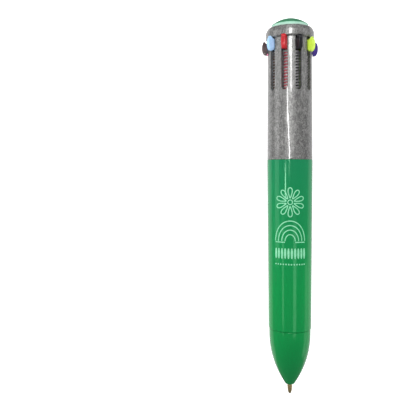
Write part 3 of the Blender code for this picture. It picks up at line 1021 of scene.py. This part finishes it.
def coil_mesh(colour):
    """A return spring with its slot facing up. Its end turns are closed."""
    low, high, _, _ = reach(f"spring_{colour}")
    middle = Vector((0, -ring_radius(f"spring_{colour}"), 0))
    radius = half_width(f"spring_{colour}") - WIRE_RADIUS
    steps = COIL_TURNS * COIL_STEPS
    bottom, top = low + WIRE_RADIUS, high - WIRE_RADIUS
    closed = COIL_CLOSED_TURNS / COIL_TURNS
    step_up = COIL_CLOSED_TURNS * COIL_CLOSED_PITCH / (top - bottom)
    up = Vector((0, 0, 1))
    section = [math.tau * k / WIRE_SIDES for k in range(WIRE_SIDES)]
    bm = bmesh.new()
    rings = []
    for i in range(steps + 1):
        share = i / steps
        if share < closed:
            rise = step_up * share / closed
        elif share > 1 - closed:
            rise = 1 - step_up * (1 - share) / closed
        else:
            rise = step_up + (1 - 2 * step_up) * (share - closed) / (1 - 2 * closed)
        turn = math.tau * i / COIL_STEPS
        arm = Vector((math.cos(turn), math.sin(turn), 0))
        centre = middle + arm * radius + up * (bottom + (top - bottom) * rise)
        wire = [WIRE_RADIUS * (arm * math.cos(a) + up * math.sin(a)) for a in section]
        rings.append([bm.verts.new(centre + spoke) for spoke in wire])
    skinned(bm, rings)
    return mesh_of(bm, "coil")


def nib_meshes():
    """A ball point and its ball, round Z, from the height of the ball's lowest point."""
    outline = [tuple(size * MM for size in corner) for corner in NIB_OUTLINE]
    steps = 16
    arc = [math.pi * i / steps for i in range(1, steps)]
    ball = [(BALL_RADIUS * math.sin(turn), BALL_RADIUS * (1 - math.cos(turn))) for turn in arc]
    ball = [(0, 0), *ball, (0, 2 * BALL_RADIUS)]
    nib = turned(rounded(outline, 3), FINE_SIDES)
    return mesh_of(nib, "nib"), mesh_of(turned(ball, FINE_SIDES), "bead")


def writing_gear(steel, brass):
    """Each colour's slider, spring, refill tube, point and ball."""
    pattern = slider_mesh("red")
    pattern_low = reach("slider_red")[0]
    nib, bead = nib_meshes()
    for colour, (plastic, ink) in COLOURS.items():
        slider, tip = f"slider_{colour}", f"tip_{colour}"
        knob_finish = moulded(f"knob_{colour}", plastic)
        angle = direction(slider)
        turn = Matrix.Rotation(angle, 4, "Z")
        shift = Matrix.Translation((0, 0, reach(slider)[0] - pattern_low))
        piece(f"thumb_{colour}", pattern, knob_finish, slider, slider, turn @ shift)

        ink_finish = inked(f"tube_{colour}", ink)
        node = f"refill_{colour}"
        tube = piece(f"tube_{colour}", tube_mesh(colour), ink_finish, node, place=turn)
        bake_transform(tube)

        node = f"spring_{colour}"
        coil = coil_mesh(colour)
        if colour == ENGAGED:
            obj = piece(f"coil_{colour}", coil, steel, node, place=turn)
            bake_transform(obj)
        else:
            obj = piece(f"coil_{colour}", coil, steel, node, "barrel", turn)
            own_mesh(obj)

        tip_low = reach(f"ball_{colour}")[0]
        spot = Matrix.Translation(outward(angle) * tip_radius(colour) + Vector((0, 0, tip_low)))
        piece(f"nib_{colour}", nib, brass, f"point_{colour}", tip, spot)
        piece(f"bead_{colour}", bead, steel, f"ball_{colour}", tip, spot)


# -------------------------------------------------------------------------- the print


def barrel_radius(height):
    """The green barrel's radius at a height."""
    low, high, _, radius = reach("lower_barrel")
    share = min(1.0, max(0.0, (height - low) / (high - LOWER_STRAIGHT - low)))
    return radius - LOWER_TAPER * (1 - share)


def printed(strokes):
    """Thin raised strokes wrapped on the green barrel. A stroke is its line of (across, height)
    points and its half width at each, and the two can close into a ring."""
    bm = bmesh.new()
    for line, widths, ring in strokes:
        count = len(line)
        sections = []
        for i, (here, half) in enumerate(zip(line, widths)):
            before = line[i - 1] if i > 0 or ring else here
            after = line[(i + 1) % count] if i < count - 1 or ring else here
            heading = (after - before).normalized()
            side = Vector((-heading.y, heading.x))
            top = [here + side * half * share for share in (-1, -0.5, 0, 0.5, 1)]
            section = [on_barrel(spot, PRINT_LIFT) for spot in top]
            section += [on_barrel(top[-1], -PRINT_LIFT), on_barrel(top[0], -PRINT_LIFT)]
            sections.append([bm.verts.new(corner) for corner in section])
        if ring:
            sections.append(sections[0])
        skinned(bm, sections, closed_ends=not ring)
    return mesh_of(bm, "print")


def on_barrel(spot, lift):
    radius = barrel_radius(spot.y)
    angle = spot.x / radius
    return outward(angle + PRINT_TURN) * (radius + lift) + Vector((0, 0, spot.y))


def arc_line(centre, radius, start, end, steps, squash=1.0):
    turns = [start + (end - start) * i / steps for i in range(steps + 1)]
    return [centre + radius * Vector((math.cos(a), squash * math.sin(a))) for a in turns]


def petal(centre, angle, near, far, width):
    """The outline of one leaf that points away from a centre."""
    steps = 22
    line = []
    for i in range(steps):
        turn = math.tau * i / steps
        out = (near + far) / 2 + (far - near) / 2 * math.cos(turn)
        across = width * math.sin(turn) * (0.62 + 0.38 * math.cos(turn))
        line.append(centre + Matrix.Rotation(angle, 2) @ Vector((out, across)))
    return line


def spread(count):
    """Even places across the print."""
    half = (count - 1) / 2
    return [PRINT_HALF_WIDTH * (i - half) / (half + PRINT_MARGIN) for i in range(count)]


def swollen(half, steps, end, power):
    """Half widths along a stroke that is full in its middle and round at its ends."""
    shares = [(k + end) / (steps + 2 * end) for k in range(steps + 1)]
    return [half * math.sin(math.pi * share) ** power for share in shares]


def rosette():
    """A ring of leaves round a small circle."""
    centre = Vector((0, PRINT_TOP - LEAF_SPAN[1]))
    angles = [math.tau * (i + 0.5) / LEAF_COUNT for i in range(LEAF_COUNT)]
    lines = [petal(centre, angle, *LEAF_SPAN, LEAF_WIDTH) for angle in angles]
    lines.append(arc_line(centre, EYE_RADIUS, 0, math.tau, 24)[:-1])
    return [(line, [PRINT_LINE] * len(line), True) for line in lines]


def bow():
    """Nested arches, with a short bar under each end."""
    centre = Vector((0, PRINT_TOP - BOW_DROP))
    radii = [PRINT_HALF_WIDTH - BAND_GAP * i for i in range(BOW_BANDS)]
    lines = [arc_line(centre, radius, 0, math.pi, 40, squash=BOW_TALLNESS) for radius in radii]
    for side in (-1, 1):
        foot = centre + Vector((side * (PRINT_HALF_WIDTH - FOOT_HALF_LENGTH), -FOOT_DROP))
        lines.append([foot + Vector((FOOT_HALF_LENGTH * (i / 8 * 2 - 1), 0)) for i in range(9)])
    return [(line, [PRINT_LINE] * len(line), False) for line in lines]


def bars():
    """Upright bars side by side."""
    strokes = []
    steps = 12
    for x in spread(BAR_COUNT):
        base = PRINT_BOTTOM + BAR_RISE
        line = [Vector((x, base + BAR_LENGTH * k / steps)) for k in range(steps + 1)]
        strokes.append((line, swollen(BAR_HALF_WIDTH, steps, 0.35, 0.35), False))
    return strokes


def dots():
    """A row of short dashes along the print's bottom."""
    strokes = []
    steps = 6
    for x in spread(DOT_COUNT):
        across = [x + DOT_LENGTH * (k / steps - 0.5) for k in range(steps + 1)]
        line = [Vector((place, PRINT_BOTTOM + DOT_RISE)) for place in across]
        strokes.append((line, swollen(DOT_HALF_WIDTH, steps, 0.4, 0.5), False))
    return strokes


# ------------------------------------------------------------------- camera and light


def camera():
    data = bpy.data.cameras.new("camera")
    data.sensor_width = 36.0
    data.lens = data.sensor_width * FOCAL_SHARE
    data.shift_y = PICTURE_SHIFT
    data.clip_start = 0.01
    obj = object_of(data, "camera")
    gaze = Vector((-math.sin(PEN_OFFSET), math.cos(PEN_OFFSET), 0))
    up = Vector((0, 0, 1))
    turn = Matrix((gaze.cross(up), up, -gaze)).transposed().to_4x4()
    spot = Vector((0, -CAMERA_DEPTH / math.cos(PEN_OFFSET), CAMERA_LEVEL))
    round_pen = Matrix.Rotation(math.radians(CAMERA_TURN), 4, "Z")
    obj.matrix_world = PEN @ round_pen @ Matrix.Translation(spot) @ turn
    bpy.context.scene.camera = obj


def softbox(name, angle, heights, distance, width, radiance, seen_by, lean):
    """A rectangular light that faces the pen, between two heights along it, at an angle in degrees
    round it from the camera. It leans by an angle in degrees, and can light only rough surfaces
    or show only in glossy ones."""
    low, high = heights
    length = (high - low) / math.cos(math.radians(lean))
    data = bpy.data.lights.new(name, "AREA")
    data.shape = "RECTANGLE"
    data.size, data.size_y = width, length
    data.energy = radiance * math.pi * width * length
    obj = object_of(data, name)
    away = outward(math.radians(CAMERA_TURN + angle))
    up = Vector((0, 0, 1))
    turn = Matrix((up.cross(away), up, away)).transposed().to_4x4()
    spot = Matrix.Translation(away * distance + up * (low + high) / 2)
    obj.matrix_world = PEN @ spot @ turn @ Matrix.Rotation(math.radians(lean), 4, "Z")
    obj.visible_camera = False
    obj.visible_diffuse = seen_by != "gloss"
    obj.visible_glossy = seen_by != "matte"


def lights():
    for name, settings in LIGHTS.items():
        softbox(name, *settings, LEANS.get(name, 0.0))


def world():
    """A pale surround for the camera, and a dimmer one for everything else."""
    made = bpy.data.worlds.new("studio")
    made.use_nodes = True
    tree = made.node_tree
    bright = tree.nodes["Background"]
    bright.inputs["Color"].default_value = SKY_SEEN
    dim = tree.nodes.new("ShaderNodeBackground")
    dim.inputs["Color"].default_value = SKY_LIGHT
    rays = tree.nodes.new("ShaderNodeLightPath")
    mix = tree.nodes.new("ShaderNodeMixShader")
    tree.links.new(rays.outputs["Is Camera Ray"], mix.inputs[0])
    tree.links.new(dim.outputs[0], mix.inputs[1])
    tree.links.new(bright.outputs[0], mix.inputs[2])
    tree.links.new(mix.outputs[0], tree.nodes["World Output"].inputs["Surface"])
    bpy.context.scene.world = made


def floor():
    """A round table top that reaches well past every view."""
    bm = bmesh.new()
    bmesh.ops.create_circle(bm, cap_ends=True, segments=96, radius=FLOOR_RADIUS)
    mesh = mesh_of(bm, "floor")
    mesh.materials.append(floor_paper())
    obj = object_of(mesh, "floor")
    obj.location.z = cad_box[0].z
    obj.visible_glossy = False


def build():
    silver, green, plastic = silver_flake(), barrel_green(), inner_plastic()
    plug_top = reach("top_plug")[1]
    head(silver, plug_green_painted_rim(plug_top - PAINTED_RIM_DEPTH, plug_top))
    silver_barrel(silver)
    green_barrel(green)
    green_cone(green)
    disc_and_core(plastic)
    writing_gear(wire_steel(), turned_brass())
    motif = printed([*rosette(), *bow(), *bars(), *dots()])
    piece("print_motif", motif, mint_print(), body="barrel")
    floor()
    camera()
    lights()
    world()
    bpy.context.scene.view_settings.view_transform = "Standard"


build()
